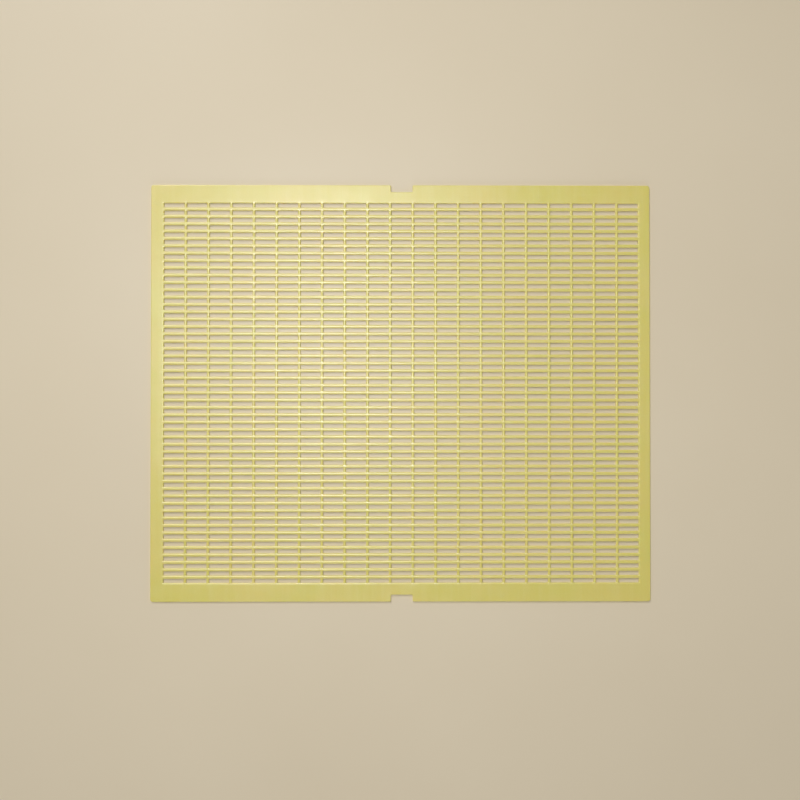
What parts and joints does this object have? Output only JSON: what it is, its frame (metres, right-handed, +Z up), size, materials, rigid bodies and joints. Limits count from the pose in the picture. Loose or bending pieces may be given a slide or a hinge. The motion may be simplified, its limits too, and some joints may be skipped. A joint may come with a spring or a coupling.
{
  "type": "queen excluder",
  "caption": "Flat moulded plastic sheet with rows of narrow slots that let worker bees pass between two hive bodies and hold the queen back.",
  "frame": {"origin": "centre of the sheet's outline, on its underside", "axes": "+X along the slats and the sheet's long side, +Y towards the back edge, +Z up out of the top face"},
  "size_m": [0.5, 0.417, 0.002],
  "materials": {
    "yellow_plastic": "satin moulded, pale yellow, slightly translucent"
  },
  "bodies": {
    "root": {"rim_and_ribs": "yellow_plastic", "slat_01": "yellow_plastic", "slat_02": "yellow_plastic", "slat_03": "yellow_plastic", "slat_04": "yellow_plastic", "slat_05": "yellow_plastic", "slat_06": "yellow_plastic", "slat_07": "yellow_plastic", "slat_08": "yellow_plastic", "slat_09": "yellow_plastic", "slat_10": "yellow_plastic", "slat_11": "yellow_plastic", "slat_12": "yellow_plastic", "slat_13": "yellow_plastic", "slat_14": "yellow_plastic", "slat_15": "yellow_plastic", "slat_16": "yellow_plastic", "slat_17": "yellow_plastic", "slat_18": "yellow_plastic", "slat_19": "yellow_plastic", "slat_20": "yellow_plastic", "slat_21": "yellow_plastic", "slat_22": "yellow_plastic", "slat_23": "yellow_plastic", "slat_24": "yellow_plastic", "slat_25": "yellow_plastic", "slat_26": "yellow_plastic", "slat_27": "yellow_plastic", "slat_28": "yellow_plastic", "slat_29": "yellow_plastic", "slat_30": "yellow_plastic", "slat_31": "yellow_plastic", "slat_32": "yellow_plastic", "slat_33": "yellow_plastic", "slat_34": "yellow_plastic", "slat_35": "yellow_plastic", "slat_36": "yellow_plastic", "slat_37": "yellow_plastic", "slat_38": "yellow_plastic", "slat_39": "yellow_plastic", "slat_40": "yellow_plastic", "slat_41": "yellow_plastic", "slat_42": "yellow_plastic", "slat_43": "yellow_plastic", "slat_44": "yellow_plastic", "slat_45": "yellow_plastic", "slat_46": "yellow_plastic", "slat_47": "yellow_plastic", "slat_48": "yellow_plastic", "slat_49": "yellow_plastic", "slat_50": "yellow_plastic", "slat_51": "yellow_plastic"}
  },
  "joints": []
}
